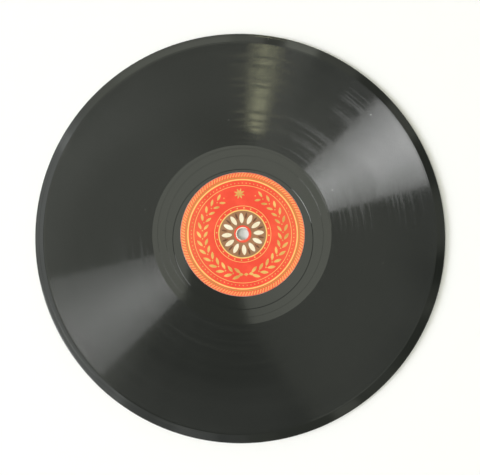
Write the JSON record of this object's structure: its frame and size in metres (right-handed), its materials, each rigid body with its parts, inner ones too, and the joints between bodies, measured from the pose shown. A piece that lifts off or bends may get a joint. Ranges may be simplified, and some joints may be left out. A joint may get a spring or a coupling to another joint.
{
  "type": "shellac record",
  "caption": "Flat black shellac disc with a fine spiral groove, a red paper label pressed into each face and a central spindle hole, for playing on a gramophone.",
  "frame": {"origin": "middle of the spindle hole on the plane that the record lies on, side B down", "axes": "+Z along the spindle hole, out of side A; +Y towards the top of side A's label"},
  "size_m": [0.25, 0.25, 0.0022],
  "materials": {
    "shellac": "gloss",
    "core_stock": "satin",
    "backing_paper": "matte",
    "label_paper": "matte"
  },
  "bodies": {
    "root": {"core": "core_stock", "backing_paper_a": "backing_paper", "backing_paper_b": "backing_paper", "facing_a": "shellac", "facing_b": "shellac", "label_a": "label_paper", "label_b": "label_paper"}
  },
  "joints": []
}
